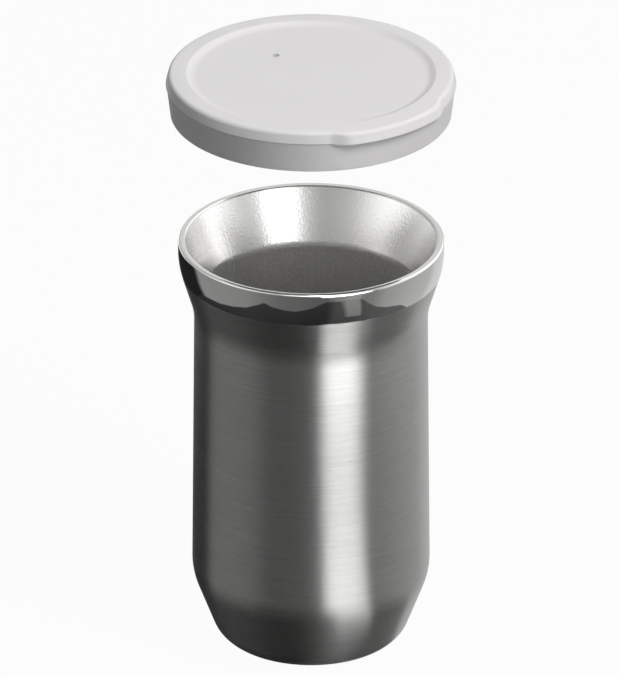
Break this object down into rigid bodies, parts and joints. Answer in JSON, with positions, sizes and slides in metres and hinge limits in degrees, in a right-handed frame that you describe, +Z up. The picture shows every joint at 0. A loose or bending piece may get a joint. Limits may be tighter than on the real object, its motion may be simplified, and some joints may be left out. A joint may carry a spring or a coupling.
{
  "type": "mate cup",
  "caption": "Tall double-walled steel mate cup with a flared polished collar, a tapered foot and a press-on plastic cap with a thumb tab, shown lifted off.",
  "frame": {"origin": "middle of the foot, on the plane of the flat ring that the cup stands on", "axes": "+Z up along the cup's axis; -Y towards the front of the picture; the thumb tab points to front right"},
  "size_m": [0.0782, 0.0785, 0.1678],
  "materials": {
    "shell_steel": "fine brushing round the body, mirror polish on the upper collar and lip",
    "liner_steel": "satin, with a fine blasted grain below the mouth",
    "seal_glass": "opaque sealing glass",
    "getter_metal": "matt sintered metal",
    "cap_plastic": "smooth matt moulding"
  },
  "bodies": {
    "cup": {"outer_shell": "shell_steel", "inner_liner": "liner_steel", "liner_base": "liner_steel", "outer_base": "shell_steel", "vacuum_seal": "seal_glass", "getter": "getter_metal"},
    "cap": {"cap": "cap_plastic"}
  },
  "joints": [
    {"name": "cap_lift", "type": "slide", "parent": "cup", "child": "cap", "axis": [0, 0, 1], "range_m": [-0.0474, 0]}
  ]
}
